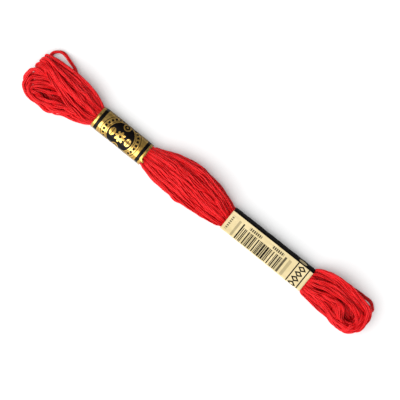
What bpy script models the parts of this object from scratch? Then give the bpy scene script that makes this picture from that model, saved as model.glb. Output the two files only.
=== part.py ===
"""Skein of embroidery floss lying on a table.

One hank of stranded cotton is folded into a long pull skein. Two paper bands hold it drawn in:
a short one near one end and a long one near the other. Between them the floss swells into a
spindle, and past them it opens into the turned-back loops of the two ends.

Frame: +X runs along the skein from the short band's end to the long band's end, +Z is up, and
the origin is on the table under the middle of the skein's box. All tables are in millimetres.
"""

import math
from collections import namedtuple

import bmesh
import bpy
from mathutils import Vector

MM = 0.001

# Driving dimensions, in millimetres.
WALL = 1.0  # stand-in thickness of a paper band
GAP = 0.3  # clearance between the floss and a band
RIDGES = 11  # main twists that show round the hank
RIDGE_POINTS = 4  # outline points for each ridge
TWIST = math.radians(75)  # turn of the ridges from one end of the hank to the other
STEP = 2.6  # spacing of the hank's cross-sections where it is bare
ROPE_SIDES = 10
CAP_STEPS = 3  # rings that round off a rope's end
GROUND_DEPTH = 4.0  # how deep the cutter for the flat underside goes

# A band is a closed sleeve. left is its +Y side and right its -Y side; square is the exponent of
# its superellipse outline, so 2 is an oval and 5 is nearly a rectangle.
Band = namedtuple("Band", "x0 x1 left right base top square")
SHORT_BAND = Band(x0=-49.9, x1=-25.8, left=4.95, right=-4.85, base=0.5, top=7.4, square=2.6)
LONG_BAND = Band(x0=14.3, x1=53.6, left=6.4, right=-4.0, base=0.4, top=6.4, square=4.0)

# Cross-sections of the hank's body. base may lie below the table, where the underside is cut flat.
Section = namedtuple("Section", "x left right base top square ridge")
END_A = [
    Section(-79.2, 2.4, -6.2, 0.8, 3.4, 2.4, 0.02),
    Section(-75.0, 4.6, -8.0, -0.2, 4.2, 2.4, 0.04),
    Section(-67.0, 6.7, -8.6, -0.5, 5.2, 2.3, 0.06),
    Section(-60.0, 6.4, -6.6, -0.3, 6.6, 2.2, 0.07),
    Section(-54.0, 5.2, -5.2, 0.0, 7.3, 2.2, 0.06),
    Section(-51.4, 4.3, -4.3, 0.6, 7.2, 2.3, 0.04),
]
SPINDLE = [
    Section(-24.4, 4.3, -4.2, 0.6, 7.3, 2.3, 0.04),
    Section(-20.8, 5.9, -5.5, 0.0, 8.2, 2.2, 0.07),
    Section(-15.3, 8.1, -6.3, -0.4, 8.9, 2.1, 0.07),
    Section(-4.4, 9.9, -6.5, -0.6, 9.3, 2.1, 0.07),
    Section(6.5, 8.1, -5.1, -0.4, 8.8, 2.1, 0.07),
    Section(10.6, 6.5, -4.1, 0.0, 7.8, 2.3, 0.07),
    Section(12.9, 5.6, -3.5, 0.4, 6.7, 2.8, 0.04),
]
END_B = [
    Section(55.0, 6.0, -3.6, 0.4, 6.6, 3.0, 0.04),
    Section(59.0, 8.4, -4.2, -0.2, 7.4, 2.4, 0.07),
    Section(65.0, 9.2, -4.4, -0.5, 6.4, 2.2, 0.06),
    Section(71.0, 9.0, -4.6, -0.5, 4.0, 2.4, 0.04),
    Section(76.0, 7.4, -4.2, -0.2, 3.6, 2.4, 0.02),
    Section(79.4, 4.2, -1.6, 0.8, 3.2, 2.4, 0.02),
]

# Ropes are the main bundles of turns at the two ends. half_w and half_h are half the bundle's
# width and height; a row is a point of the bundle's route.
Point = namedtuple("Point", "x y z half_w half_h")
UPPER_BUNDLE = [
    Point(-53.0, 2.2, 4.0, 1.9, 2.9),
    Point(-60.0, 5.0, 4.2, 2.6, 3.5),
    Point(-68.0, 5.3, 4.2, 2.8, 3.7),
    Point(-75.0, 4.9, 4.0, 2.7, 3.6),
    Point(-78.8, 3.9, 3.8, 2.3, 3.0),
]
CROSSING_RIBBON = [
    Point(-53.2, -0.6, 5.0, 2.2, 2.1),
    Point(-60.0, -0.5, 5.5, 3.0, 2.2),
    Point(-68.0, 1.0, 5.4, 2.2, 2.2),
    Point(-75.0, 2.3, 5.0, 1.5, 2.2),
    Point(-79.3, 2.5, 4.4, 1.2, 1.9),
]
OUTER_LOOP = [
    Point(-53.0, -2.8, 3.8, 1.7, 2.9),
    Point(-59.0, -5.6, 3.6, 2.0, 3.2),
    Point(-65.0, -8.4, 3.4, 2.1, 3.3),
    Point(-72.0, -9.2, 3.2, 2.0, 3.2),
    Point(-77.6, -7.9, 3.2, 1.9, 3.2),
    Point(-80.4, -4.0, 3.3, 2.0, 3.3),
    Point(-79.4, 0.6, 3.4, 1.9, 3.2),
    Point(-76.0, 2.4, 3.2, 1.6, 2.8),
]
INNER_LEG_HIGH = [
    Point(-66.0, -1.6, 3.6, 1.3, 2.4),
    Point(-70.0, -2.4, 3.7, 1.4, 2.4),
    Point(-74.0, -4.2, 3.5, 1.4, 2.4),
    Point(-78.0, -5.6, 3.3, 1.3, 2.4),
]
INNER_LEG_LOW = [
    Point(-62.0, -4.6, 3.6, 1.2, 2.4),
    Point(-67.0, -5.4, 3.6, 1.3, 2.4),
    Point(-72.0, -6.8, 3.5, 1.3, 2.4),
    Point(-76.4, -7.4, 3.3, 1.2, 2.4),
]
STRAY_LOOP = [
    Point(-66.6, 6.6, 3.0, 0.65, 0.65),
    Point(-70.4, 8.9, 2.2, 0.65, 0.65),
    Point(-74.0, 10.5, 1.5, 0.65, 0.65),
    Point(-76.8, 10.5, 1.1, 0.65, 0.65),
    Point(-79.0, 9.1, 1.0, 0.65, 0.65),
    Point(-79.6, 6.9, 1.4, 0.65, 0.65),
    Point(-78.6, 4.8, 2.4, 0.65, 0.65),
]
FAR_LOOP = [
    Point(56.6, 3.8, 3.9, 2.1, 2.9),
    Point(61.5, 6.3, 4.3, 3.3, 4.0),
    Point(68.0, 7.0, 4.5, 3.6, 4.3),
    Point(74.5, 6.6, 4.5, 3.5, 4.3),
    Point(78.7, 3.4, 4.3, 3.1, 4.1),
    Point(79.5, -0.6, 4.1, 2.3, 3.9),
    Point(77.0, -4.0, 3.8, 1.8, 3.7),
    Point(71.0, -4.1, 3.6, 1.5, 3.5),
    Point(63.0, -3.1, 3.5, 1.6, 3.2),
    Point(57.2, -1.9, 3.4, 1.4, 2.5),
]
ARCH = [
    Point(56.6, -0.9, 3.9, 1.9, 2.7),
    Point(62.0, -0.4, 4.3, 2.4, 3.0),
    Point(67.0, -0.2, 4.4, 2.3, 3.0),
    Point(71.0, -1.6, 4.2, 1.9, 2.8),
    Point(74.4, -3.6, 3.8, 1.3, 2.6),
]
TUCKED_LOOP = [
    Point(72.0, 8.4, 2.2, 1.2, 1.8),
    Point(76.8, 9.3, 1.9, 1.3, 1.6),
    Point(80.0, 8.2, 1.7, 1.2, 1.4),
    Point(81.3, 5.2, 1.8, 1.2, 1.5),
    Point(79.2, 2.4, 2.2, 1.2, 1.6),
]
ROPES = {
    "upper_bundle": UPPER_BUNDLE,
    "crossing_ribbon": CROSSING_RIBBON,
    "outer_loop": OUTER_LOOP,
    "inner_leg_high": INNER_LEG_HIGH,
    "inner_leg_low": INNER_LEG_LOW,
    "stray_loop": STRAY_LOOP,
    "far_loop": FAR_LOOP,
    "arch": ARCH,
    "tucked_loop": TUCKED_LOOP,
}
ROPE_STEP = 2.6  # spacing of a rope's rings
THIN_STEP = 1.5  # the same on a rope as thin as one length of floss
THIN = 1.0  # half width under which a rope is thin


def clear_scene():
    for obj in list(bpy.data.objects):
        bpy.data.objects.remove(obj)


def material(name, colour, roughness, metallic=0.0):
    """A Principled BSDF of one colour."""
    made = bpy.data.materials.new(name)
    made.use_nodes = True
    shader = made.node_tree.nodes["Principled BSDF"]
    shader.inputs["Base Color"].default_value = (*colour, 1.0)
    shader.inputs["Roughness"].default_value = roughness
    shader.inputs["Metallic"].default_value = metallic
    return made


def blended(rows, at):
    """The row at a fractional index, on a Catmull-Rom curve through every column of the table."""
    i = min(int(at), len(rows) - 2)
    t = at - i
    before, after = rows[max(i - 1, 0)], rows[min(i + 2, len(rows) - 1)]

    def through(p0, p1, p2, p3):
        return 0.5 * (
            2 * p1
            + (p2 - p0) * t
            + (2 * p0 - 5 * p1 + 4 * p2 - p3) * t * t
            + (3 * p1 - p0 - 3 * p2 + p3) * t**3
        )

    return type(rows[0])(*map(through, before, rows[i], rows[i + 1], after))


def resampled(rows, step, length_between):
    """The table filled in with blended rows, about step apart."""
    filled = [rows[0]]
    for i in range(len(rows) - 1):
        pieces = max(1, round(length_between(rows[i], rows[i + 1]) / step))
        filled += [blended(rows, i + k / pieces) for k in range(1, pieces + 1)]
    return filled


def superellipse(angle, half_w, half_h, square):
    """A point of a superellipse about the origin."""
    c, s = math.cos(angle), math.sin(angle)
    return (
        half_w * math.copysign(abs(c) ** (2 / square), c),
        half_h * math.copysign(abs(s) ** (2 / square), s),
    )


def outline(row, points, ridge=0.0, turn=0.0, inset=0.0):
    """The points of a cross-section at row.x, in mm. Its ridges start at the angle turn."""
    ring = []
    for k in range(points):
        angle = 2 * math.pi * k / points
        swell = 1 + ridge * math.cos(RIDGES * angle)
        y, z = superellipse(
            angle + turn,
            ((row.left - row.right) / 2 - inset) * swell,
            ((row.top - row.base) / 2 - inset) * swell,
            row.square,
        )
        ring.append(Vector((row.x, y + (row.left + row.right) / 2, z + (row.base + row.top) / 2)))
    return ring


def mesh_object(name, rings, finish=None, caps=True, closed=False):
    """An object skinned over rings of points in mm. closed joins the last ring to the first."""
    bm = bmesh.new()
    loops = [[bm.verts.new(p * MM) for p in ring] for ring in rings]
    pairs = list(zip(loops, loops[1:]))
    if closed:
        pairs.append((loops[-1], loops[0]))
    for here, there in pairs:
        for k in range(len(here)):
            nxt = (k + 1) % len(here)
            bm.faces.new((here[k], here[nxt], there[nxt], there[k]))
    if caps:
        bm.faces.new(loops[0])
        bm.faces.new(loops[-1])
    bmesh.ops.recalc_face_normals(bm, faces=bm.faces)
    mesh = bpy.data.meshes.new(name)
    bm.to_mesh(mesh)
    bm.free()
    mesh.shade_smooth()
    mesh.set_sharp_from_angle(angle=math.radians(40))
    obj = bpy.data.objects.new(name, mesh)
    if finish:
        mesh.materials.append(finish)
    bpy.context.scene.collection.objects.link(obj)
    return obj


def inside(band):
    """The two cross-sections of the hank where a band grips it."""
    room = WALL + GAP
    return [
        Section(
            x,
            band.left - room,
            band.right + room,
            band.base + room,
            band.top - room,
            band.square,
            0.0,
        )
        for x in (band.x0 - GAP, band.x1 + GAP)
    ]


def hank_body():
    """The hank without its end loops: drawn in at each band, swollen between them."""

    def apart(a, b):
        return b.x - a.x

    rows = []
    for stretch in (END_A, inside(SHORT_BAND), SPINDLE, inside(LONG_BAND), END_B):
        gripped = stretch[0].ridge == 0.0
        rows += stretch if gripped else resampled(stretch, STEP, apart)
    length = rows[-1].x - rows[0].x
    rings = []
    for row in rows:
        turn = TWIST * (row.x - rows[0].x) / length
        rings.append(outline(row, RIDGES * RIDGE_POINTS, row.ridge, turn))
    return mesh_object("floss_hank", rings)


def rope(name, rows):
    """A bundle of turns: an oval swept along its route, with rounded ends."""

    def apart(a, b):
        return math.dist((a.x, a.y, a.z), (b.x, b.y, b.z))

    rows = resampled(rows, THIN_STEP if rows[0].half_w < THIN else ROPE_STEP, apart)
    centres = [Vector((r.x, r.y, r.z)) for r in rows]
    rings = []
    for i, row in enumerate(rows):
        along = (centres[min(i + 1, len(rows) - 1)] - centres[max(i - 1, 0)]).normalized()
        side = along.cross(Vector((0, 0, 1))).normalized()
        up = side.cross(along)
        # Rings of a rounded end shrink while they step outwards by a quarter circle.
        turns = [(0.0, 1.0)]
        if i in (0, len(rows) - 1):
            outwards = -1 if i == 0 else 1
            quarter = [math.pi / 2 * k / (CAP_STEPS + 0.5) for k in range(CAP_STEPS + 1)]
            turns = [(outwards * math.sin(q), math.cos(q)) for q in quarter][::outwards]
        for forward, share in turns:
            ring = []
            for k in range(ROPE_SIDES):
                w, h = superellipse(
                    2 * math.pi * (k + 0.5) / ROPE_SIDES, row.half_w, row.half_h, 2.2
                )
                ring.append(
                    centres[i] + along * forward * row.half_w + (side * w + up * h) * share
                )
            rings.append(ring)
    return mesh_object(name, rings)


def ground_cutter():
    """The space below the table, which gives the hank the flat it rests on."""
    size = Vector((0.2, 0.06, GROUND_DEPTH * MM))
    bm = bmesh.new()
    bmesh.ops.create_cube(bm, size=1.0)
    bmesh.ops.scale(bm, vec=size, verts=bm.verts)
    bmesh.ops.translate(bm, vec=(0, 0, -size.z / 2), verts=bm.verts)
    mesh = bpy.data.meshes.new("ground")
    bm.to_mesh(mesh)
    bm.free()
    cutter = bpy.data.objects.new("ground", mesh)
    bpy.context.scene.collection.objects.link(cutter)
    return cutter


def helper(obj):
    """Marks an object as a tool of the Booleans, and not a piece of the skein."""
    obj.hide_render = True
    obj.display_type = "WIRE"


def boolean(obj, operation, other):
    helper(other)
    step = obj.modifiers.new(other.name, "BOOLEAN")
    step.operation = operation
    step.solver = "EXACT"
    step.use_self = True  # a wide rope's rings cross each other inside a tight bend
    step.object = other


def floss_hank(finish):
    """The whole hank as one solid: its body, the bundles of both ends and the flat underside."""
    hank = hank_body()
    for name, rows in ROPES.items():
        boolean(hank, "UNION", rope(name, rows))
    boolean(hank, "DIFFERENCE", ground_cutter())
    hank.data.materials.append(finish)
    return hank


def band(name, size, points, finish):
    """A paper band: a sleeve with walls WALL thick."""
    rings = []
    for x, inset in ((size.x0, 0.0), (size.x1, 0.0), (size.x1, WALL), (size.x0, WALL)):
        rings.append(outline(Section(x, *size[2:], 0.0), points, inset=inset))
    return mesh_object(name, rings, finish, caps=False, closed=True)


def main():
    clear_scene()
    floss_hank(material("floss_red", (0.66, 0.012, 0.016), 0.5))
    band("short_band", SHORT_BAND, 32, material("gold_foil", (0.75, 0.58, 0.25), 0.3, 0.9))
    band("long_band", LONG_BAND, 32, material("cream_paper", (0.78, 0.66, 0.4), 0.45, 0.2))


main()
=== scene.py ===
"""The looks of a skein of embroidery floss: every length of floss with its six plies, and the two
printed paper bands, laid out in the space that the CAD solids hold.

All working sizes are in millimetres, in the frame's own axes: +X along the skein, +Z up.
"""

import math
from collections import namedtuple

import bpy
import numpy as np
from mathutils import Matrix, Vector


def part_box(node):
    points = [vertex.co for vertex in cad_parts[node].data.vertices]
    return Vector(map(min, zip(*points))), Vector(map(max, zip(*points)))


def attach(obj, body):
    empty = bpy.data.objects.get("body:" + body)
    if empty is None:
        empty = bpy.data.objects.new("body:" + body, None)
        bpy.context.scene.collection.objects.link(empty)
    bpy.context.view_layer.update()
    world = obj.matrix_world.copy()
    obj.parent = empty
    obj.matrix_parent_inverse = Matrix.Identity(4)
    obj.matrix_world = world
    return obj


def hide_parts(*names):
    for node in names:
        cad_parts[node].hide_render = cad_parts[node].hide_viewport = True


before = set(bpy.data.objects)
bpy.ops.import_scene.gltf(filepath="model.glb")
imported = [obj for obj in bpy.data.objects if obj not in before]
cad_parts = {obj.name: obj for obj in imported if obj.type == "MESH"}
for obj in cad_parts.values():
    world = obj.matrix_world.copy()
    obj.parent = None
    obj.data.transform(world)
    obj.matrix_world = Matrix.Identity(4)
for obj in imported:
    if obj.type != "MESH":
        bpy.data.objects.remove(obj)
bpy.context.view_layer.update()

MM = 0.001
RNG = np.random.default_rng(11)

# The floss.
RUNS = 48  # lengths of floss side by side through a band
LOOSE = 1.35  # width of one length where it lies free
FILL = 0.84  # share of the hank's cross-section that the lengths fill
PLIES = 6
PLY_SIDES = 6
PLY_RING = 0.69  # radius of the ring of plies, as a share of the length's own
PLY_RADIUS = 0.38  # radius of a ply, as a share of the length's own
TWIST_PITCH = 20.0  # one turn of the six plies round each other
FOLD_PITCH = 1.5  # one turn of the two folds of a ply
SWAY = 5.0  # from one bend of a ply among the others to the next
SEGMENT = 0.9  # mean length of one piece of a ply
END_SEGMENT = 0.64  # the same in the tighter bends of the two ends
HIDDEN_SEGMENT = 3.0  # and inside a band
CROWD = 2.5  # how much closer the pieces are in a bend, for each 1/mm that it bends
MOST_CROWDED = 2  # and the most that this comes to
TUCK = 2.5  # how far the modelled plies reach into a band
SMOOTHING = 0.3  # how far a point follows its neighbours on its own length
PUSH = 0.32  # share of an overlap by which each side moves away in one round
MOST_MOVED = 0.35  # the furthest that a point moves in one round
PAIRS_LAST = 6  # rounds for which one search for near points is used
HELD = 0.9  # how firmly the ends of a length are held inside a band
TINY = 1e-6  # keeps a division from failing
STRAY = 0.28  # how far a loop strays from its family's route
SWAP = 0.09  # how far it drifts to its neighbours' places

# The paper.
PAPER = 0.13
OVERLAP = 3.6  # how far the paper's end laps over its start
WIND_GAP = 0.04  # between the two layers of the lap
CLEARANCE = 0.36  # from the middle of the paper, on the band's box, to the floss inside it
PAPER_STEP = 0.3  # size of the paper mesh round the band
PAPER_LENGTH_STEP = 0.6  # the same along it
BUCKLE = 0.045  # how far the paper strays in and out
EDGE_CURL = 0.1  # how much further its two edges stray
EDGE_DEPTH = 0.8  # how far in from an edge that fades out
TAB_DEPTH = 1.3  # how far in from the edge a tab starts
LOWEST_PAPER = 0.05  # its height above the table


# ---------------------------------------- curves


def distances(line):
    """How far along a line each of its points is."""
    return np.concatenate([[0], np.cumsum(np.linalg.norm(np.diff(line, axis=0), axis=1))])


def resampled(line, count):
    """count points evenly spaced along a line of points."""
    along = distances(line)
    at = np.linspace(0, along[-1], count)
    return np.stack([np.interp(at, along, line[:, c]) for c in range(line.shape[1])], axis=1)


def smooth_curve(points, count):
    """count points evenly spaced along a Catmull-Rom curve through points."""
    points = np.asarray(points, float)
    padded = np.vstack([2 * points[0] - points[1], points, 2 * points[-1] - points[-2]])
    t = np.linspace(0, 1, 24, endpoint=False)[:, None]
    dense = []
    for p0, p1, p2, p3 in zip(padded, padded[1:], padded[2:], padded[3:]):
        slope = (p2 - p0) * t
        square = (2 * p0 - 5 * p1 + 4 * p2 - p3) * t**2
        cube = (3 * p1 - p0 - 3 * p2 + p3) * t**3
        dense.append((2 * p1 + slope + square + cube) / 2)
    return resampled(np.vstack([*dense, points[-1:]]), count)


def crowded(line, count):
    """count points along a line of points, closer together where it bends. Columns past the third
    are carried along."""
    along = np.diff(line[:, :3], axis=0)
    steps = np.linalg.norm(along, axis=1)
    bend = np.linalg.norm(np.diff(along / steps[:, None], axis=0), axis=1) / steps[1:]
    window = 5  # points over which the bend is averaged
    bend = np.convolve(np.concatenate([bend[:1], bend]), np.full(window, 1 / window), "same")
    crowding = steps * (1 + np.minimum(CROWD * bend, MOST_CROWDED))
    crowding = np.concatenate([[0], np.cumsum(crowding)])
    at = np.linspace(0, crowding[-1], count)
    return np.stack([np.interp(at, crowding, column) for column in line.T], axis=1)


def length_of(line):
    return float(distances(line)[-1])


def eased(values, at):
    """values, one row each, read smoothly at places counted in rows."""
    low = np.minimum(at.astype(int), len(values) - 2)
    ease = (1 - np.cos((at - low) * math.pi)) / 2
    ease = ease.reshape(-1, *[1] * (values.ndim - 1))
    return values[low] * (1 - ease) + values[low + 1] * ease


def wander(shape, points, reach, grain):
    """Smooth random wandering of size reach over points, with a bend every grain points."""
    knots = RNG.normal(0, reach, (points // grain + 3, *shape))
    return eased(knots, np.linspace(0, len(knots) - 1, points))


# ---------------------------------------- the bands' outlines

# A Corner is a bend of the paper's outline round the floss. across and up are shares of the CAD
# band's width and height, radius is the bend's, and drift is how far the corner moves towards +Y
# from the band's one end to the other.
Corner = namedtuple("Corner", "across up radius drift")
SHORT_CORNERS = [
    Corner(0.90, 0.00, 1.6, 0.0),
    Corner(0.13, 0.00, 1.4, 0.0),
    Corner(0.00, 0.40, 1.4, 0.0),
    Corner(0.05, 0.70, 1.2, 0.0),
    Corner(0.19, 0.91, 1.0, 0.0),
    Corner(0.33, 0.97, 5.0, 0.0),
    Corner(0.66, 0.91, 8.0, 0.0),
    Corner(0.89, 0.74, 1.6, 0.0),
    Corner(1.00, 0.50, 1.2, 0.0),
]
LONG_CORNERS = [
    Corner(0.92, 0.00, 0.9, 0.1),
    Corner(0.08, 0.00, 0.9, 0.0),
    Corner(0.00, 0.47, 1.2, 0.0),
    Corner(0.01, 0.97, 0.5, 0.0),
    Corner(0.87, 1.00, 0.35, 0.0),
    Corner(0.98, 0.60, 0.8, 0.45),
]
BEND_POINTS = 7


class Band:
    """A paper band, in the box of its CAD node."""

    def __init__(self, node, corners):
        low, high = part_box(node)
        self.node, self.corners = node, corners
        self.low, self.high = np.array(low) / MM, np.array(high) / MM
        self.length = self.high[0] - self.low[0]

    def outline(self, end=0.5):
        """The closed outline as (y, z) points, end of the way (0 to 1) along the band."""
        size = self.high - self.low
        at = [
            (self.low[1] + c.across * size[1] + c.drift * end, self.low[2] + c.up * size[2])
            for c in self.corners
        ]
        at = np.array(at)
        t = np.linspace(0, 1, BEND_POINTS)[:, None]
        line = []
        for k, corner in enumerate(self.corners):
            here = at[k]
            to_last, to_next = at[k - 1] - here, at[(k + 1) % len(at)] - here
            one, other = np.linalg.norm(to_last), np.linalg.norm(to_next)
            half = math.acos(np.dot(to_last, to_next) / one / other) / 2
            reach = min(corner.radius / math.tan(half), 0.49 * one, 0.49 * other)
            start, stop = here + to_last / one * reach, here + to_next / other * reach
            line.append((1 - t) ** 2 * start + 2 * t * (1 - t) * here + t**2 * stop)
        line = np.vstack(line)
        return np.vstack([line, line[:1]])

    def girth(self):
        return length_of(self.outline())

    def girth_to_top(self):
        """How far round the outline the middle of the band's top is."""
        line = self.outline()
        steps = distances(line)
        up = line[:, 1] > (self.low[2] + self.high[2]) / 2
        return float(np.interp(0, line[up, 0], steps[up]))

    def kept_inside(self, points, room):
        """(y, z) points, with those nearer to the outline than room moved inwards."""
        line = resampled(self.outline(), 240)[:-1]
        along = np.roll(line, -1, axis=0) - np.roll(line, 1, axis=0)
        inward = np.stack([along[:, 1], -along[:, 0]], axis=1)
        inward /= np.linalg.norm(inward, axis=1, keepdims=True)
        nearest = ((points[:, None] - line[None]) ** 2).sum(2).argmin(1)
        depth = ((points - line[nearest]) * inward[nearest]).sum(1)
        return points + inward[nearest] * np.clip(room - depth, 0, None)[:, None]

    def area(self):
        y, z = self.outline().T
        return abs(np.sum(y[:-1] * z[1:] - y[1:] * z[:-1])) / 2


SHORT = Band("short_band", SHORT_CORNERS)
LONG = Band("long_band", LONG_CORNERS)


def disc_places(count):
    """Evenly spread places in a unit disc."""
    i = np.arange(count)
    radius = np.sqrt((i + 0.5) / count)
    angle = i * math.pi * (3 - math.sqrt(5))
    places = np.stack([radius * np.cos(angle), radius * np.sin(angle)], axis=1)
    unevenness = 0.03
    return places + RNG.normal(0, unevenness, places.shape)


PLACES = disc_places(RUNS)


def places_in(cy, cz, half_w, half_h, square, turn=0.0):
    """PLACES turned and fitted into a superellipse, one row of (y, z) each."""
    c, s = math.cos(turn), math.sin(turn)
    u = PLACES[:, 0] * c - PLACES[:, 1] * s
    v = PLACES[:, 0] * s + PLACES[:, 1] * c
    angle = np.arctan2(v, u)
    edge = (abs(np.cos(angle)) ** square + abs(np.sin(angle)) ** square) ** (-1 / square)
    return np.stack([cy + u * edge * half_w, cz + v * edge * half_h], axis=1)


GRIP_SQUARE = 3.0  # exponent of the superellipse in which the lengths start inside a band
GRIP_ROUNDS = 120  # rounds of pushing them apart there
GRIP_PUSH = 0.3  # share of an overlap by which a length moves away in one round


def gripped_places(band, turn):
    """Where the lengths pass through a band, and how wide they are there."""
    width = 2 * math.sqrt(FILL * band.area() / math.pi / RUNS)
    centre, half = (band.low + band.high) / 2, (band.high - band.low) / 2 - width
    spots = places_in(centre[1], centre[2], half[1], half[2], GRIP_SQUARE, turn)
    itself = np.eye(RUNS) * width * 9  # far enough that a length never pushes itself
    for _ in range(GRIP_ROUNDS):
        gap = spots[:, None] - spots[None]
        apart = np.linalg.norm(gap, axis=2) + itself + TINY
        over = np.clip(width - apart, 0, None)
        spots = spots + (gap / apart[..., None] * over[..., None] * GRIP_PUSH).sum(1)
        spots = band.kept_inside(spots, width / 2 + CLEARANCE)
    return spots, width


SPINDLE_TURN = math.radians(20)  # how far the lengths turn round each other between the bands
SHORT_PLACES, SHORT_WIDTH = gripped_places(SHORT, 0.0)
LONG_PLACES, LONG_WIDTH = gripped_places(LONG, SPINDLE_TURN)


# ---------------------------------------- laying the floss


def near_pairs(flat, own, order, wide):
    """Pairs of points of the floss close enough to touch soon."""
    first, second = [], []
    block = 400  # points compared with the rest at a time
    slack = 0.8  # how far past touching is still near
    neighbours = 5  # points this near along one length never push each other
    points = flat.astype(np.float32)
    reach = float(wide.max()) + slack
    for s in range(0, len(points), block):
        part = points[s : s + block]
        rest = points[s:]
        d2 = ((part[:, None] - rest[None]) ** 2).sum(2)
        i, j = np.nonzero(d2 < reach * reach)
        i, j = i + s, j + s
        fresh = (i < j) & ((own[i] != own[j]) | (abs(order[i] - order[j]) > neighbours))
        first.append(i[fresh])
        second.append(j[fresh])
    return np.concatenate(first), np.concatenate(second)


def settle(paths, width, keep, rounds, limit=None):
    """Pushes lengths of floss apart until they only touch, above the table.

    paths is (lengths, points, 3) and width (lengths, points). keep is how firmly each point is
    held to where it began. limit, if given, brings points back inside the hank's outline.
    """
    n, k = paths.shape[:2]
    start = paths.copy()
    own = np.repeat(np.arange(n), k)
    order = np.tile(np.arange(k), n)
    wide = width.reshape(-1)
    for step in range(rounds):
        flat = paths.reshape(-1, 3)
        if step % PAIRS_LAST == 0:
            i, j = near_pairs(flat, own, order, wide)
        gap = flat[i] - flat[j]
        apart = np.linalg.norm(gap, axis=1) + TINY
        over = np.clip((wide[i] + wide[j]) / 2 - apart, 0, None)
        push = gap / apart[:, None] * (over * PUSH)[:, None]
        moved = [np.bincount(i, p, n * k) - np.bincount(j, p, n * k) for p in push.T]
        moved = np.stack(moved, axis=1)
        size = np.linalg.norm(moved, axis=1, keepdims=True)
        moved *= np.minimum(1, MOST_MOVED / np.maximum(size, TINY))
        shift = (flat + moved).reshape(n, k, 3) - start
        shift[:, 1:-1] += SMOOTHING * ((shift[:, :-2] + shift[:, 2:]) / 2 - shift[:, 1:-1])
        paths = start + shift * (1 - keep[..., None])
        if limit:
            paths = limit(paths)
        paths[..., 2] = np.maximum(paths[..., 2], width / 2)
    return paths


SLICE_STEP = 1.0


def hank_slices():
    """Station by station along X, the lowest and highest Y and Z of the CAD hank, in mm."""
    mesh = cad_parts["floss_hank"].data
    co = np.array([v.co for v in mesh.vertices]) / MM
    ends = np.array([e.vertices[:] for e in mesh.edges])
    a, b = co[ends[:, 0]], co[ends[:, 1]]
    rows = []
    for x in np.arange(co[:, 0].min() + 0.05, co[:, 0].max(), SLICE_STEP):
        crossing = (np.minimum(a[:, 0], b[:, 0]) <= x) & (np.maximum(a[:, 0], b[:, 0]) >= x)
        p, q = a[crossing], b[crossing]
        run = q[:, 0] - p[:, 0]
        t = (x - p[:, 0]) / np.where(abs(run) < TINY, TINY, run)
        at = p + (q - p) * np.clip(t, 0, 1)[:, None]
        rows.append([x, at[:, 1].min(), at[:, 1].max(), at[:, 2].min(), at[:, 2].max()])
    return np.array(rows)


def spindle_paths():
    """The lengths between the bands, swelling into the CAD hank's outline."""
    square = 2.2  # exponent of the superellipse that the lengths keep inside
    mouths = SHORT.high[0], LONG.low[0]
    x = np.arange(mouths[0] - TUCK, mouths[1] + TUCK, SEGMENT)
    hank = hank_slices()
    right, left, base, top = (np.interp(x, hank[:, 0], hank[:, k]) for k in range(1, 5))
    past = np.minimum(x - mouths[0], mouths[1] - x)  # how far past the nearer mouth
    puff, puff_at, puff_length = 0.45, 1.5, 2.5  # the floss puffs out just past a band
    swell = puff * np.exp(-((past - puff_at) / puff_length) ** 2)
    opening = 1.4  # how far past a mouth the outline is all the hank's own
    free = np.clip(past / opening, 0, 1)
    near_short = x < sum(mouths) / 2
    held = [np.where(near_short, SHORT.low[c], LONG.low[c]) + CLEARANCE for c in (1, 2)]
    held += [np.where(near_short, SHORT.high[c], LONG.high[c]) - CLEARANCE for c in (1, 2)]
    right, base, left, top = (
        h + (s - h) * free
        for h, s in zip(held, (right - swell, base, left + swell, top + swell / 2))
    )
    cy, cz = (left + right) / 2, (base + top) / 2
    half_w, half_h = (left - right) / 2, (top - base) / 2
    width = 2 * np.sqrt(FILL * half_w * half_h / RUNS)
    room_w, room_h = half_w - width / 2, half_h - width / 2
    share = np.linspace(0, 1, len(x))
    paths = np.zeros((RUNS, len(x), 3))
    for k in range(len(x)):
        paths[:, k, 0] = x[k]
        turn = SPINDLE_TURN * share[k]
        paths[:, k, 1:] = places_in(cy[k], cz[k], room_w[k], room_h[k], square, turn)
    amount = np.sin(math.pi * share) ** 0.7  # none at the bands, most in the middle
    sway = wander((RUNS, 2), len(x), reach=0.45, grain=9) * amount[:, None, None]
    paths[..., 1:] += sway.transpose(1, 0, 2)
    gather = 6  # how far from a length's end it starts towards its place in the band
    for places, end, away in ((SHORT_PLACES, 0, share), (LONG_PLACES, -1, 1 - share)):
        ease = (1 - np.clip(away * (x[-1] - x[0]) / gather, 0, 1)) ** 2
        paths[..., 1:] += ease[None, :, None] * (places - paths[:, end, 1:])[:, None]

    def inside(paths):
        y, z = (paths[..., 1] - cy) / room_w, (paths[..., 2] - cz) / room_h
        out = (abs(y) ** square + abs(z) ** square) ** (1 / square)
        share = 1 / np.maximum(out, 1)
        paths[..., 1] = cy + y * share * room_w
        paths[..., 2] = cz + z * share * room_h
        return paths

    keep = np.full((RUNS, len(x)), 0.01)
    keep[:, :3] = keep[:, -3:] = HELD
    width = np.tile(width, (RUNS, 1))
    return settle(paths, width, keep, rounds=90, limit=inside), width


# A Turn is a point of the route round an end. A family's first loop passes x, y, z and its last
# loop to_x, to_y, to_z, and the others are blended between the two. A spot is a loop's share of
# the way from the first to the last, and its layer, each layer lower than the one before.
Turn = namedtuple("Turn", "x y z to_x to_y to_z")
Family = namedtuple("Family", "spots turns")
LAYER = 1.4  # height of a layer


def lone(x, y, z):
    """A turn of a loop that lies by itself."""
    return Turn(x, y, z, x, y, z)


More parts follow.
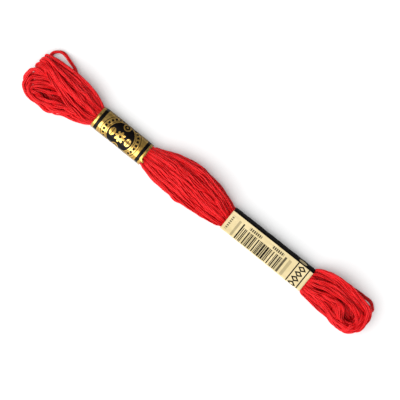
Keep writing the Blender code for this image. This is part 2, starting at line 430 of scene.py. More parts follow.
def layered(*counts):
    """Spots of loops side by side, so many in each layer. A layer with fewer loops than the one
    above it lies in that one's hollows."""
    spots = []
    for layer, count in enumerate(counts):
        inset = 0.5 * (counts[0] - count) / max(counts[0] - 1, 1)
        spots += [(share, layer) for share in np.linspace(inset, 1 - inset, count)]
    return spots


NEAR_END = {
    "upper": Family(
        layered(5),
        [
            Turn(-52.4, 4.8, 4.4, -53.5, 0.8, 6.4),
            Turn(-58.0, 6.7, 5.3, -58.5, 1.6, 6.5),
            Turn(-63.5, 7.6, 5.4, -63.5, 2.1, 6.3),
            Turn(-69.0, 7.5, 5.3, -69.0, 2.4, 5.9),
            Turn(-74.0, 7.0, 5.1, -74.5, 2.4, 5.5),
            Turn(-78.2, 6.9, 4.7, -78.2, 2.2, 4.9),
            Turn(-80.1, 5.6, 3.6, -79.7, 1.0, 3.7),
            Turn(-79.4, 3.9, 2.2, -79.0, -0.3, 2.4),
            Turn(-74.6, 3.6, 0.9, -75.0, -0.8, 1.0),
            Turn(-66.0, 4.6, 0.8, -66.0, -1.4, 0.8),
            Turn(-58.0, 4.0, 1.1, -58.0, -0.6, 1.0),
        ],
    ),
    "upper_core": Family(
        layered(2),
        [
            Turn(-54.5, 4.2, 3.9, -54.5, 2.1, 3.9),
            Turn(-60.0, 6.0, 4.0, -60.0, 3.2, 4.1),
            Turn(-67.0, 6.6, 3.8, -67.0, 3.6, 4.0),
            Turn(-73.0, 6.3, 3.6, -73.5, 3.4, 3.8),
            Turn(-77.5, 6.2, 3.2, -78.0, 3.3, 3.4),
            Turn(-78.2, 6.2, 2.4, -78.6, 3.2, 2.8),
            Turn(-76.0, 6.3, 1.6, -77.0, 3.3, 2.3),
            Turn(-67.0, 6.4, 1.6, -67.0, 3.4, 2.2),
            Turn(-58.0, 4.4, 1.8, -58.0, 2.0, 2.4),
        ],
    ),
    "crossing": Family(
        layered(5),
        [
            Turn(-53.5, 2.4, 6.4, -52.6, -3.4, 5.7),
            Turn(-58.5, 3.0, 7.0, -57.4, -4.1, 6.4),
            Turn(-63.5, 3.4, 7.2, -62.2, -3.6, 6.8),
            Turn(-69.5, 3.9, 6.9, -67.0, -1.9, 6.9),
            Turn(-75.0, 4.4, 6.3, -73.0, 0.2, 6.5),
            Turn(-78.4, 4.5, 5.3, -77.2, 1.8, 5.6),
            Turn(-79.8, 3.8, 4.2, -79.2, 1.6, 4.6),
            Turn(-79.2, 1.8, 3.0, -79.0, -0.4, 3.4),
            Turn(-75.0, -1.0, 2.2, -76.4, -3.6, 2.4),
            Turn(-68.0, -3.2, 1.8, -70.5, -6.4, 1.6),
            Turn(-62.0, -3.4, 1.8, -63.0, -5.8, 1.2),
            Turn(-56.0, -1.4, 2.2, -56.0, -3.4, 1.2),
        ],
    ),
    "outer": Family(
        layered(6, 3),
        [
            Turn(-52.4, -4.6, 3.4, -53.8, -3.2, 4.4),
            Turn(-58.0, -6.1, 3.9, -58.5, -4.8, 4.8),
            Turn(-62.5, -7.8, 4.1, -62.5, -6.2, 5.0),
            Turn(-66.0, -9.4, 4.2, -66.0, -7.6, 5.0),
            Turn(-71.0, -10.0, 4.2, -70.0, -8.7, 5.0),
            Turn(-76.0, -10.0, 4.2, -73.6, -9.2, 4.9),
            Turn(-79.8, -8.0, 4.2, -76.0, -8.8, 4.8),
            Turn(-81.8, -5.2, 4.2, -76.6, -7.6, 4.9),
            Turn(-81.7, -2.4, 4.4, -75.4, -6.2, 5.1),
            Turn(-80.2, -0.4, 4.7, -73.4, -4.8, 5.2),
            Turn(-77.6, 0.7, 4.9, -71.2, -3.4, 5.1),
            Turn(-74.0, 0.8, 4.6, -68.4, -2.0, 4.4),
            Turn(-67.0, 0.4, 3.8, -64.0, -1.2, 3.8),
            Turn(-59.0, 0.2, 3.6, -59.0, -1.0, 3.6),
            Turn(-54.0, 0.2, 3.6, -54.0, -1.0, 3.6),
        ],
    ),
    "hollow": Family(
        layered(2),
        [
            Turn(-58.0, -5.0, 2.0, -58.0, -3.8, 1.4),
            Turn(-65.0, -7.4, 1.8, -65.0, -5.6, 1.2),
            Turn(-72.0, -9.0, 1.9, -71.5, -6.3, 1.0),
            Turn(-77.6, -8.4, 1.8, -75.6, -6.6, 0.9),
            Turn(-80.0, -5.6, 1.6, -77.0, -5.8, 0.9),
            Turn(-80.0, -2.4, 1.5, -75.4, -4.8, 0.9),
            Turn(-76.0, -1.4, 1.4, -71.0, -4.2, 0.9),
            Turn(-67.0, -1.6, 1.0, -66.0, -3.6, 1.0),
            Turn(-58.0, -1.2, 1.4, -58.0, -2.2, 0.9),
        ],
    ),
    "stray": Family(
        layered(1),
        [
            lone(-57.0, 4.6, 4.2),
            lone(-62.0, 6.6, 4.0),
            lone(-66.5, 7.9, 3.6),
            lone(-69.5, 9.0, 3.0),
            lone(-72.3, 10.2, 2.2),
            lone(-75.2, 10.9, 1.4),
            lone(-77.8, 10.2, 1.0),
            lone(-79.2, 8.5, 0.8),
            lone(-79.5, 6.4, 0.7),
            lone(-77.0, 4.9, 0.7),
            lone(-72.0, 4.2, 0.7),
            lone(-64.0, 3.8, 0.8),
            lone(-57.0, 2.6, 1.4),
        ],
    ),
}
FAR_END = {
    "rim": Family(
        layered(6, 5, 5),
        [
            Turn(55.0, 6.9, 4.4, 56.6, 1.6, 6.2),
            Turn(59.6, 8.6, 5.4, 60.5, 2.8, 6.5),
            Turn(65.0, 9.6, 5.9, 65.0, 3.8, 6.7),
            Turn(70.0, 9.3, 6.0, 69.5, 4.2, 6.8),
            Turn(74.5, 8.4, 6.0, 73.6, 3.9, 6.6),
            Turn(78.6, 7.1, 5.9, 77.0, 2.7, 6.3),
            Turn(80.7, 4.9, 5.8, 78.5, 0.8, 6.0),
            Turn(80.6, 2.0, 5.7, 78.7, -1.0, 5.8),
            Turn(79.7, -0.6, 5.6, 77.9, -2.4, 5.7),
            Turn(78.1, -2.5, 5.5, 76.5, -3.3, 5.7),
            Turn(76.0, -3.8, 5.4, 74.6, -3.1, 5.9),
            Turn(73.2, -4.5, 5.4, 72.5, -1.7, 6.3),
            Turn(69.0, -4.3, 5.4, 70.2, 1.0, 6.7),
            Turn(64.0, -4.1, 5.4, 67.6, 2.8, 7.0),
            Turn(60.0, -3.9, 5.2, 63.0, 1.6, 6.8),
            Turn(55.4, -3.8, 4.6, 57.4, -0.2, 6.2),
        ],
    ),
    "tucked": Family(
        layered(2),
        [
            Turn(58.5, 5.8, 1.6, 58.5, 5.0, 1.6),
            Turn(65.0, 8.8, 1.2, 65.0, 8.0, 1.0),
            Turn(71.0, 9.9, 1.0, 71.0, 8.9, 0.9),
            Turn(75.5, 10.2, 1.0, 75.2, 9.0, 0.8),
            Turn(79.0, 10.1, 0.9, 77.5, 8.4, 0.8),
            Turn(80.6, 8.5, 0.9, 79.1, 7.0, 0.8),
            Turn(80.6, 6.6, 0.9, 79.3, 5.7, 0.8),
            Turn(78.6, 4.6, 0.8, 77.6, 4.0, 0.8),
            Turn(73.0, 3.6, 0.8, 73.0, 2.6, 0.8),
            Turn(66.0, 3.4, 0.8, 66.0, 2.0, 0.8),
            Turn(58.5, 3.0, 1.4, 58.5, 1.8, 1.2),
        ],
    ),
    "eye": Family(
        layered(6),
        [
            Turn(57.5, 2.2, 3.4, 57.5, 0.0, 2.4),
            Turn(64.0, 4.2, 2.6, 64.0, 0.2, 2.4),
            Turn(70.0, 4.6, 2.2, 69.0, -0.4, 2.4),
            Turn(74.9, 3.6, 2.0, 73.0, -1.0, 2.4),
            Turn(77.6, 1.2, 2.0, 75.3, -2.0, 2.2),
            Turn(77.9, -1.4, 2.2, 76.0, -2.9, 1.8),
            Turn(76.4, -3.4, 1.4, 75.0, -3.2, 1.2),
            Turn(73.0, -3.8, 1.2, 72.0, -2.6, 1.0),
            Turn(65.0, -2.4, 1.0, 65.0, -1.2, 0.9),
            Turn(57.5, -1.5, 1.4, 57.5, -0.9, 1.2),
        ],
    ),
}


def family_lines(family):
    """The route of each loop of a family, without its ends inside the band. A loop keeps only
    roughly to its share of the way, so that some cross their neighbours."""
    turns = np.array(family.turns)
    first, last = turns[:, :3], turns[:, 3:]
    along = np.linspace(0, 1, len(turns))[:, None]
    lines = []
    for share, layer in family.spots:
        start, end = share + RNG.normal(0, SWAP, 2)
        line = first + (last - first) * (start + (end - start) * along)
        line[:, 2] -= LAYER * layer
        lines.append(line + RNG.normal(0, STRAY, line.shape))
    return lines


def matched(legs, places):
    """For each leg of a loop, the place in the band that it comes out of."""
    cost = ((legs[:, None] - places[None]) ** 2).sum(2)
    chosen = np.full(len(legs), -1)
    for flat in np.argsort(cost, axis=None):
        leg, place = divmod(int(flat), len(places))
        if chosen[leg] < 0 and place not in chosen:
            chosen[leg] = place
    for _ in range(6):
        for p in range(len(legs)):
            for q in range(p):
                now = cost[p, chosen[p]] + cost[q, chosen[q]]
                if cost[p, chosen[q]] + cost[q, chosen[p]] < now:
                    chosen[p], chosen[q] = chosen[q], chosen[p]
    return chosen


def end_paths(families, mouth, inwards, places, held_width):
    """The loops past a band: from inside the band at mouth, round the end and back into it."""
    lines = [line for family in families.values() for line in family_lines(family)]
    legs = np.array([line[0, 1:] for line in lines] + [line[-1, 1:] for line in lines])
    spread = (legs - legs.mean(0)) / legs.std(0) * places.std(0) + places.mean(0)
    chosen = places[matched(spread, places)]
    routes = []
    for line, root, tail in zip(lines, chosen, chosen[len(lines) :]):
        enter = [(mouth + inwards * TUCK, *root), (mouth, *root)]
        leave = [(mouth, *tail), (mouth + inwards * TUCK, *tail)]
        routes.append(np.vstack([enter, line, leave]))
    points = round(np.mean([length_of(route) for route in routes]) / SEGMENT)
    paths = np.array([smooth_curve(route, points) for route in routes])
    loosening = 7  # how far past the mouth a length is at its full width
    out = np.clip(-inwards * (paths[..., 0] - mouth) / loosening, 0, 1)
    width = held_width + (LOOSE - held_width) * out
    keep = np.full(paths.shape[:2], 0.02)
    keep[:, :4] = keep[:, -4:] = HELD
    return settle(paths, width, keep, rounds=140), width


# ---------------------------------------- meshes


def mesh_object(name, points, faces, uv, values=None):
    """A smooth mesh of quads from arrays in mm. uv is a map's name and its corners, and values
    are named numbers, one a point."""
    mesh = bpy.data.meshes.new(name)
    points = np.asarray(points, np.float32) * MM
    faces = np.asarray(faces, np.int32)
    mesh.vertices.add(len(points))
    mesh.vertices.foreach_set("co", points.ravel())
    mesh.loops.add(faces.size)
    mesh.loops.foreach_set("vertex_index", faces.ravel())
    mesh.polygons.add(len(faces))
    mesh.polygons.foreach_set("loop_start", np.arange(0, faces.size, 4, dtype=np.int32))
    mesh.polygons.foreach_set("use_smooth", np.full(len(faces), True))
    layer = mesh.uv_layers.new(name=uv[0])
    layer.data.foreach_set("uv", np.asarray(uv[1], np.float32).ravel())
    for key, numbers in (values or {}).items():
        layer = mesh.attributes.new(key, "FLOAT", "POINT")
        layer.data.foreach_set("value", np.asarray(numbers, np.float32))
    mesh.update(calc_edges=True)
    mesh.validate()
    obj = bpy.data.objects.new(name, mesh)
    bpy.context.scene.collection.objects.link(obj)
    return obj


def unit(rows):
    return rows / np.linalg.norm(rows, axis=1, keepdims=True)


def carried_frames(line):
    """Tangent and a side vector that turns as little as it can, at each point of a line."""
    along = unit(np.gradient(line, axis=0))
    sides = np.zeros_like(line)
    side = np.array([0.0, 0.0, 1.0])
    for k, tangent in enumerate(along):
        side = side - tangent * side.dot(tangent)
        side /= np.linalg.norm(side)
        sides[k] = side
    return along, sides


class Yarn:
    """Collects six-sided tubes and makes one mesh of them."""

    CAP = np.array([[0, 1, 2, 3], [0, 3, 4, 5]])

    def __init__(self):
        self.points, self.faces, self.uv, self.tint, self.count = [], [], [], [], 0

    def add(self, line, radius, along, side, tint):
        """A closed tube round a line. Its UV map is the share of the way round, and mm along."""
        n, sides = len(line), PLY_SIDES
        other = np.cross(along, side)[:, None]
        angle = (np.arange(sides) * 2 * math.pi / sides)[None, :, None]
        ring = np.cos(angle) * side[:, None] + np.sin(angle) * other
        self.points.append((line[:, None] + ring * radius[:, None, None]).reshape(-1, 3))
        k = np.arange(n - 1)[:, None] * sides
        here = np.arange(sides)[None]
        after = (here + 1) % sides
        wall = np.stack([k + here, k + after, k + sides + after, k + sides + here], axis=2)
        ends = np.vstack([self.CAP[:, ::-1], self.CAP + (n - 1) * sides])
        self.faces.append(np.vstack([wall.reshape(-1, 4), ends]) + self.count)
        way = distances(line)
        u = np.arange(sides) / sides
        low, high = way[:-1, None] + 0 * u, way[1:, None] + 0 * u
        left, right = u + 0 * low, u + 1 / sides + 0 * low
        corners = np.stack([left, low, right, low, right, high, left, high], axis=2)
        self.uv.append(np.vstack([corners.reshape(-1, 2), np.zeros((ends.size, 2))]))
        self.tint.append(np.full(n * sides, tint))
        self.count += n * sides

    def made(self, name, material):
        piece = mesh_object(
            name,
            np.vstack(self.points),
            np.vstack(self.faces),
            ("Thread", np.vstack(self.uv)),
            {"tint": np.concatenate(self.tint)},
        )
        piece.data.materials.append(material)
        return piece


PLY_SWAY = 0.3  # radians by which a ply strays round its length
LOOSENING = 3  # how far past a band's grip the plies take to lie loose


def floss_piece(name, paths, widths, segment, material):
    """Six plies twisted loosely together along each path. segment is the mean length of their
    straight pieces, which are shorter in a bend."""
    yarn = Yarn()
    for path, width in zip(paths, widths):
        length = length_of(path)
        count = round(length / segment)
        both = crowded(smooth_curve(np.column_stack([path, width]), 4 * count), count)
        line, radius = both[:, :3], both[:, 3] / 2
        along, side = carried_frames(line)
        other = np.cross(along, side)
        distance = distances(line)
        free = np.clip((np.minimum(distance, length - distance) - TUCK) / LOOSENING, 0, 1)
        start = RNG.uniform(0, 2 * math.pi)
        shade = RNG.uniform(0, 1)
        pitch = TWIST_PITCH * RNG.uniform(0.8, 1.4)
        for ply in range(PLIES):
            sway = wander((), count, PLY_SWAY, round(SWAY / segment))
            slack = 0.15 if ply == 0 else 0.08  # the first ply lies looser than the others
            swell = wander((), count, slack, round(SWAY / segment)) * free
            angle = start + 2 * math.pi * (ply / PLIES + distance / pitch) + sway
            offset = np.cos(angle)[:, None] * side + np.sin(angle)[:, None] * other
            centre = line + offset * ((PLY_RING + swell) * radius)[:, None]
            centre[:, 2] = np.maximum(centre[:, 2], PLY_RADIUS * radius)
            own_along = unit(np.gradient(centre, axis=0))
            own_side = unit(side - own_along * (side * own_along).sum(1, keepdims=True))
            tint = 0.4 * shade + 0.6 * RNG.uniform(0, 1)  # partly its length's, mostly its own
            yarn.add(centre, PLY_RADIUS * radius, own_along, own_side, tint)
    return yarn.made(name, material)


def hidden_piece(name, material):
    """The lengths inside the bands, as plain rods that run into the plies at their two ends."""
    yarn = Yarn()
    gripped = (SHORT, SHORT_PLACES, SHORT_WIDTH), (LONG, LONG_PLACES, LONG_WIDTH)
    for band, places, width in gripped:
        x0, x1 = band.low[0] + TUCK - width, band.high[0] - TUCK + width
        count = round((x1 - x0) / HIDDEN_SEGMENT)
        for place in places:
            line = np.linspace([x0, *place], [x1, *place], count)
            yarn.add(line, np.full(count, width / 2), *carried_frames(line), 0.5)
    return yarn.made(name, material)


# ---------------------------------------- the paper

# A Tab is a stretch of the paper's +X edge that pokes out past the rest, v round from the top.
Tab = namedtuple("Tab", "v half_width reach")


def wound_paper(name, band, printed, bare, tab=None):
    """A strip of paper wound once round the floss, its end lapping over its start underneath.

    Its UV map is in mm: U along the band from its -X end, V round it from the middle of its top.
    """
    x = np.linspace(band.low[0], band.high[0], round(band.length / PAPER_LENGTH_STEP) + 1)
    girth = band.girth()
    around = round((girth + OVERLAP) / PAPER_STEP) + 1
    v = np.linspace(0, girth + OVERLAP, around)
    wound = (PAPER + WIND_GAP) * (v / girth - 0.5)  # one layer further out after each turn
    lift = wander((len(x),), around, BUCKLE, grain=4).T
    lift = (lift + np.roll(lift, 1, axis=0) + np.roll(lift, -1, axis=0)) / 2
    edge = np.minimum(x - x[0], x[-1] - x)
    curl = np.exp(-edge / EDGE_DEPTH) * EDGE_CURL
    lift += curl[:, None] * wander((), around, 1.0, grain=6)[None]
    outer, inner = [], []
    for k, station in enumerate(x):
        line = band.outline(k / (len(x) - 1))
        steps = distances(line)
        at = (v / girth) % 1 * steps[-1]
        y, z = np.interp(at, steps, line[:, 0]), np.interp(at, steps, line[:, 1])
        dy, dz = np.gradient(y), np.gradient(z)
        size = np.hypot(dy, dz)
        along = np.full(around, station)
        if tab:
            bulge = tab.reach * np.exp(-((v - band.girth_to_top() - tab.v) / tab.half_width) ** 4)
            along += bulge * max(0, 1 - edge[k] / TAB_DEPTH) * (k > len(x) / 2)
        for shell, depth in ((outer, 0), (inner, PAPER)):
            offset = wound + lift[k] - depth
            points = [along, y - dz / size * offset, z + dy / size * offset]
            shell.append(np.stack(points, axis=1))
    points = np.vstack([np.vstack(outer), np.vstack(inner)])
    points[:, 2] = np.maximum(points[:, 2], LOWEST_PAPER)
    return paper_shell(name, points, x - x[0], v - band.girth_to_top(), printed, bare)


def paper_shell(name, points, u, v, printed, bare):
    """A closed shell of an outer and an inner grid of points, printed on the outside."""
    nu, nv = len(u), len(v)
    i, j = np.meshgrid(np.arange(nu - 1), np.arange(nv - 1), indexing="ij")
    corner = (i * nv + j).ravel()
    front = np.stack([corner, corner + nv, corner + nv + 1, corner + 1], axis=1)
    back = front[:, ::-1] + nu * nv
    rim = [
        np.arange(nv),
        np.arange(2 * nv - 1, nu * nv, nv),
        np.arange(nu * nv - 2, (nu - 1) * nv - 1, -1),
        np.arange((nu - 2) * nv, 0, -nv),
    ]
    rim = np.concatenate(rim)
    after = np.roll(rim, -1)
    sides = np.stack([rim, after, after + nu * nv, rim + nu * nv], axis=1)
    faces = np.vstack([front, back, sides])
    both = np.stack([np.repeat(u, nv), np.tile(v, nu)], axis=1)
    piece = mesh_object(name, points, faces, ("Print", np.vstack([both, both])[faces.ravel()]))
    piece.data.materials.append(printed)
    piece.data.materials.append(bare)
    material = np.ones(len(faces), np.int32)
    material[: len(front)] = 0
    piece.data.polygons.foreach_set("material_index", material)
    return piece


# ---------------------------------------- materials


class Field:
    """A number that varies over a surface, worked out by math nodes."""

    def __init__(self, tree, socket):
        self.tree, self.socket = tree, socket

    def made(self, operation, *others):
        node = self.tree.nodes.new("ShaderNodeMath")
        node.operation = operation
        for socket, value in zip(node.inputs, (self, *others)):
            if isinstance(value, Field):
                self.tree.links.new(value.socket, socket)
            else:
                socket.default_value = value
        return Field(self.tree, node.outputs[0])

    def __add__(self, other):
        return self.made("ADD", other)

    def __sub__(self, other):
        return self.made("SUBTRACT", other)

    def __mul__(self, other):
        return self.made("MULTIPLY", other)

    def size(self):
        return self.made("ABSOLUTE")

    def both(self, *others):
        """Where all of several shapes are."""
        result = self
        for other in others:
            result = result.made("MINIMUM", other)
        return result

    def either(self, *others):
        """Where any of several shapes is."""
        result = self
        for other in others:
            result = result.made("MAXIMUM", other)
        return result

    def less(self, *others):
        """This shape without the others."""
        result = self
        for other in others:
            result = result.both(other.made("MULTIPLY_ADD", -1.0, 1.0))
        return result

    def below(self, limit, blur=0.04):
        """1 where the field is under limit, 0 where it is over it."""
        node = self.tree.nodes.new("ShaderNodeMapRange")
        node.interpolation_type = "SMOOTHSTEP"
        self.tree.links.new(self.socket, node.inputs["Value"])
        node.inputs["From Min"].default_value = limit - blur
        node.inputs["From Max"].default_value = limit + blur
        node.inputs["To Min"].default_value = 1
        node.inputs["To Max"].default_value = 0
        return Field(self.tree, node.outputs["Result"])


def new_material(name):
    """A material, its node tree and its shader."""
    made = bpy.data.materials.new(name)
    made.use_nodes = True
    return made, made.node_tree, made.node_tree.nodes["Principled BSDF"]


def map_fields(tree, uv_name):
    """The two fields of a UV map."""
    uv = tree.nodes.new("ShaderNodeUVMap")
    uv.uv_map = uv_name
    parts = tree.nodes.new("ShaderNodeSeparateXYZ")
    tree.links.new(uv.outputs["UV"], parts.inputs["Vector"])
    return Field(tree, parts.outputs["X"]), Field(tree, parts.outputs["Y"])


def grain(tree, scale, detail, stretch=(1, 1, 1)):
    """Noise in object space."""
    coords = tree.nodes.new("ShaderNodeTexCoord")
    mapping = tree.nodes.new("ShaderNodeMapping")
    mapping.inputs["Scale"].default_value = stretch
    tree.links.new(coords.outputs["Object"], mapping.inputs["Vector"])
    noise = tree.nodes.new("ShaderNodeTexNoise")
    noise.inputs["Scale"].default_value = scale
    noise.inputs["Detail"].default_value = detail
    tree.links.new(mapping.outputs["Vector"], noise.inputs["Vector"])
    return Field(tree, noise.outputs["Fac"])


def ramp(tree, field, *stops):
    """The colour of a field, from stops of position and colour."""
    node = tree.nodes.new("ShaderNodeValToRGB")
    while len(node.color_ramp.elements) < len(stops):
        node.color_ramp.elements.new(0.5)
    for element, (at, colour) in zip(node.color_ramp.elements, stops):
        element.position = at
        element.color = (*colour, 1)
    tree.links.new(field.socket, node.inputs["Fac"])
    return node.outputs["Color"]


def covered(tree, base, amount, colour):
    """A colour socket covered by amount of a colour."""
    node = tree.nodes.new("ShaderNodeMix")
    node.data_type = "RGBA"
    sockets = {i.name: i for i in node.inputs if i.type == "RGBA"}
    tree.links.new(amount.socket, node.inputs["Factor"])
    tree.links.new(base, sockets["A"])
    sockets["B"].default_value = (*colour, 1)
    return [o for o in node.outputs if o.type == "RGBA"][0]


def bumped(tree, shader, height, distance, strength):
    bump = tree.nodes.new("ShaderNodeBump")
    bump.inputs["Strength"].default_value = strength
    bump.inputs["Distance"].default_value = distance
    tree.links.new(height.socket, bump.inputs["Height"])
    tree.links.new(bump.outputs["Normal"], shader.inputs["Normal"])


def cotton():
    """Mercerised cotton: a clear red with a soft gloss, each ply a fine two-fold twist."""
    made, tree, shader = new_material("mercerised_cotton")
    round_ply, along_ply = map_fields(tree, "Thread")
    turns = along_ply * (1 / FOLD_PITCH) + round_ply
    groove = ((turns * (4 * math.pi)).made("SINE") * 0.5 + 0.5).made("POWER", 4.0)
    tint = tree.nodes.new("ShaderNodeAttribute")
    tint.attribute_name = "tint"
    shade = Field(tree, tint.outputs["Fac"]) * 0.42 + grain(tree, 260, 3) * 0.4 + 0.12
    # painted shade: the grooves of each ply's two-fold twist are coloured darker, besides their
    # bump
    colour = ramp(
        tree,
        shade - groove * 0.4,
        (0.0, (0.30, 0.0005, 0.001)),
        (0.35, (0.60, 0.001, 0.002)),
        (0.75, (0.82, 0.017, 0.023)),
    )
    tree.links.new(colour, shader.inputs["Base Color"])
    bumped(tree, shader, groove * -1.0, 0.00006, 0.7)
    shader.inputs["Roughness"].default_value = 0.38
    shader.inputs["Specular IOR Level"].default_value = 0.2
    return made


class Print:
    """Draws shapes on a band's paper, in mm of its UV map."""

    def __init__(self, tree):
        self.u, self.v = map_fields(tree, "Print")

    def stripe(self, u, width):
        """A stripe round the band."""
        return (self.u - u).size().below(width / 2)

    def lane(self, v, width):
        """A stripe along the band."""
        return (self.v - v).size().below(width / 2)

    def reach(self, u, v, half_u=1.0, half_v=1.0):
        """Distance from an oval's middle, 1 on its edge."""
        across = (self.u - u) * (1 / half_u)
        up = (self.v - v) * (1 / half_v)
        return (across * across + up * up).made("SQRT")

    def disc(self, u, v, half_u, half_v=None):
        half_v = half_v or half_u
        return self.reach(u, v, half_u, half_v).below(1, 0.04 / min(half_u, half_v))

    def ring(self, u, v, half_u, half_v, width):
        hole = self.disc(u, v, half_u - width, half_v - width)
        return self.disc(u, v, half_u, half_v).less(hole)

    def lozenge(self, u, v, half_u, half_v):
        across = (self.u - u).size() * (1 / half_u)
        up = (self.v - v).size() * (1 / half_v)
        return (across + up).below(1, 0.05)


BLACK_INK = (0.004, 0.003, 0.003)


def printed_finish(tree, shader, gold, ink, metallic, roughness, ink_gloss):
    """Black ink over gold."""
    tree.links.new(covered(tree, gold, ink, BLACK_INK), shader.inputs["Base Color"])
    tree.links.new((ink * -metallic + metallic).socket, shader.inputs["Metallic"])
    shader.inputs["Roughness"].default_value = roughness
    shader.inputs["Specular IOR Level"].default_value = ink_gloss


def gold_foil():
    """Gold foil printed in black: end stripes, and a medallion with a flower between two leaves
    in a ring of beads. Painted shade darkens its +Y half and its two long edges."""
    made, tree, shader = new_material("gold_foil_print")
    p = Print(tree)
    u, v = SHORT.length / 2, -0.9  # the medallion's middle
    stripes = p.stripe(1.85, 1.5).either(p.stripe(SHORT.length - 1.75, 1.4))
    far = p.reach(u, v)
    turn = (p.v - v).made("ARCTAN2", p.u - u)
    border = p.ring(u, v, 8.4, 8.6, 0.3)
    beads = (turn * 28).made("SINE").below(0.45, 0.4).both((far - 7.1).size().below(0.5))
    engraving = (far * 12).made("SINE").below(-0.1, 0.5).less(far.below(8.9)) * 0.8
    engraving = engraving.both((p.u - u).size().below(8.9))
    rim = p.ring(u, v, 6.1, 6.7, 0.22)
    petals = (turn * 4).made("COSINE").size() * 1.1 + 1.2
    light = [(far - petals).below(0).less(p.disc(u, v, 0.55))]
    for side in (-1, 1):
        leaf = u + side * 3.7
        lens = p.disc(leaf, v - 0.9, 1.35, 2.6).both(p.disc(leaf, v + 0.9, 1.35, 2.6))
        light.append(lens.less(p.stripe(leaf, 0.26)))
        light.append(p.ring(u, v + side * 4.9, 1.65, 1.65, 0.5))
        light.append(p.disc(u, v + side * 4.9, 0.45))
    shade = p.lane(5.4, 7.2) * 0.45  # painted shade: ink over the +Y half, standing in for the dim reflection on that side
    # dark hems along the two long edges: partly print, partly painted shade for the darker
    # reflections there
    hems_and_painted_shade = (p.lane(6.9, 4.4) * 0.7).either(shade, p.lane(-6.8, 4.6) * 0.3)
    ink = p.disc(u, v, 5.5, 6.1).less(*light)
    ink = ink.either(stripes, border, rim, beads, engraving, hems_and_painted_shade)
    gold = ramp(tree, grain(tree, 160, 3), (0.3, (0.62, 0.37, 0.08)), (0.7, (0.72, 0.46, 0.13)))
    printed_finish(tree, shader, gold, ink, 1.0, 0.27, 0.1)
    bumped(tree, shader, grain(tree, 700, 3, (0.4, 1, 1)), 0.0001, 0.4)
    return made


def gold_paper():
    """Pale gold paper printed in black: bars, ticks, two rules with four lozenges between them,
    and a black edge along its +Y side."""
    made, tree, shader = new_material("gold_paper_print")
    p = Print(tree)
    edge = 4.65  # where the top's crease is
    back = 15.0  # where the black ends, underneath
    beat = (p.u * 6.7).made("SINE") + (p.u * 4.1 + 0.9).made("SINE") + (p.u * 10.3 + 2).made("SINE")
    hatch = (p.u * 15).made("SINE").below(0.2, 0.4).both((p.u * 0.93).made("SINE").below(0.1, 0.1))
    bars = beat.below(0.05, 0.06).either(hatch * 0.5)
    bars = bars.both(p.stripe(17.0, 19.4), p.lane(-0.9, 5.6))
    guards = p.stripe(6.65, 0.6).either(
        p.stripe(27.3, 0.9) * 0.85, p.stripe(4.8, 1.0) * 0.4, p.stripe(29.4, 1.3) * 0.35
    )
    guards = guards.both(p.lane(-0.3, 6.8))
    ticks = (p.u * 7.4).made("SINE").below(0.35, 0.3) * 0.95
    ticks = ticks.both(p.stripe(12.2, 5.8).either(p.stripe(23.2, 5.6)), p.lane(3.1, 1.2))
    column = (p.v * 7).made("SINE").below(0.3, 0.4) * 0.8
    column = column.both(p.stripe(1.6, 0.9), p.lane(0.2, 6.0))
    marks = []
    for k in range(4):
        v = 3.2 - 2.25 * k
        marks.append(p.lozenge(34.9, v, 1.9, 1.15).less(p.lozenge(34.9, v, 0.9, 0.5)))
    rules = p.stripe(32.35, 0.5).either(p.stripe(37.45, 0.5))
    face = bars.either(guards, ticks, column, rules, *marks).both(p.lane(0.0, 2 * edge))
    side = p.v.below(back).less(p.v.below(edge), p.disc(33.7, edge + 1.4, 1.9, 0.8) * 0.7)
    gold = ramp(tree, grain(tree, 220, 4), (0.3, (0.58, 0.475, 0.25)), (0.7, (0.66, 0.545, 0.315)))
    printed_finish(tree, shader, gold, face.either(side), 0.0, 0.45, 0.02)
    bumped(tree, shader, grain(tree, 700, 4), 0.00005, 0.4)
    return made


def bare_paper():
    """The unprinted side of the paper, and its cut edges."""
    made, tree, shader = new_material("bare_paper")
    colour = ramp(tree, grain(tree, 500, 5), (0.3, (0.74, 0.67, 0.52)), (0.7, (0.86, 0.81, 0.68)))
    tree.links.new(colour, shader.inputs["Base Color"])
    shader.inputs["Roughness"].default_value = 0.8
    bumped(tree, shader, grain(tree, 900, 4), 0.00005, 0.5)
    return made


# ---------------------------------------- stage

SKEW = math.radians(38.8)  # the skein lies slanting across the picture
VIEW_WIDTH = 0.1558  # metres across the picture
VIEW_HEIGHT = 0.004  # the height above the table where that is measured
VIEW_CENTRE = (0.0015, -0.0005)
TABLE_SIZE = 3.0
LENS = 100
SENSOR = 36


def floor():
    """A pale table with a faint glow of its own, which keeps the skein's shadow light."""
    bpy.ops.mesh.primitive_plane_add(size=TABLE_SIZE, location=(0, 0, 0))
    made, tree, shader = new_material("white_table")
    shader.inputs["Base Color"].default_value = (0.62, 0.62, 0.62, 1)
    shader.inputs["Roughness"].default_value = 0.9
    shader.inputs["Emission Color"].default_value = (1, 1, 1, 1)
    shader.inputs["Emission Strength"].default_value = 0.2
    plane = bpy.context.object
    plane.name = "table"
    plane.data.materials.append(made)


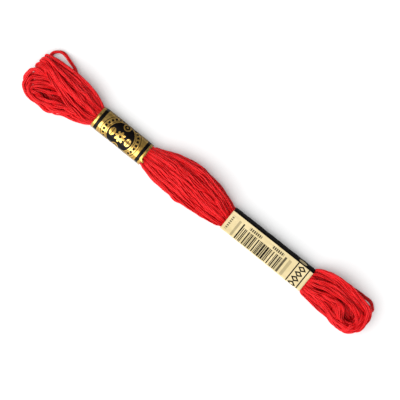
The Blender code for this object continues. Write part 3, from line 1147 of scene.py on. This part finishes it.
def sky():
    """A studio that is bright on the -Y side and dim on the other."""
    world = bpy.data.worlds.new("studio")
    world.use_nodes = True
    tree = world.node_tree
    coords = tree.nodes.new("ShaderNodeTexCoord")
    parts = tree.nodes.new("ShaderNodeSeparateXYZ")
    tree.links.new(coords.outputs["Generated"], parts.inputs["Vector"])
    level = (Field(tree, parts.outputs["Y"]) * -0.65 + 0.58).made("MAXIMUM", 0.06)
    background = tree.nodes["Background"]
    background.inputs["Color"].default_value = (1, 1, 1, 1)
    tree.links.new(level.socket, background.inputs["Strength"])
    bpy.context.scene.world = world


def key_light():
    """One large soft light from the -X, -Y side."""
    light = bpy.data.lights.new("key", "AREA")
    light.shape = "SQUARE"
    light.size = 1.3
    light.energy = 20
    key = bpy.data.objects.new("key", light)
    key.location = (-0.25, -0.50, 1.05)
    key.rotation_euler = (-key.location).to_track_quat("-Z", "Y").to_euler()
    bpy.context.scene.collection.objects.link(key)


def camera():
    """A camera straight above, turned so that the skein lies slanting."""
    data = bpy.data.cameras.new("camera")
    data.lens = LENS
    data.sensor_width = SENSOR
    made = bpy.data.objects.new("camera", data)
    made.location = (*VIEW_CENTRE, VIEW_WIDTH * LENS / SENSOR + VIEW_HEIGHT)
    made.rotation_euler = (0, 0, SKEW)
    bpy.context.scene.collection.objects.link(made)
    bpy.context.scene.camera = made
    bpy.context.scene.view_settings.view_transform = "Standard"


# ---------------------------------------- the skein


def placed(piece, slot, *nodes):
    """Puts a piece on the row's one body, in place of the nodes that it shows. slot is not used."""
    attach(piece, "root")
    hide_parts(*nodes)


def main():
    floor()
    sky()
    key_light()
    camera()
    red = cotton()
    spindle = spindle_paths()
    near = end_paths(NEAR_END, SHORT.low[0], 1, SHORT_PLACES, SHORT_WIDTH)
    far = end_paths(FAR_END, LONG.high[0], -1, LONG_PLACES, LONG_WIDTH)
    parts = [
        ("near_end", near, END_SEGMENT),
        ("spindle", spindle, SEGMENT),
        ("far_end", far, END_SEGMENT),
    ]
    for name, laid, segment in parts:
        placed(floss_piece(f"floss_{name}", *laid, segment, red), "floss", "floss_hank")
    placed(hidden_piece("floss_in_bands", red), "floss", "floss_hank")
    bare = bare_paper()
    foil = wound_paper("foil_band", SHORT, gold_foil(), bare, Tab(-3.1, 0.6, 1.1))
    label = wound_paper("label_band", LONG, gold_paper(), bare)
    for band, paper, slot in ((SHORT, foil, "foil_band"), (LONG, label, "paper_band")):
        placed(paper, slot, band.node)
        flat = (band.length * MM, (band.girth() + OVERLAP) * MM)


main()
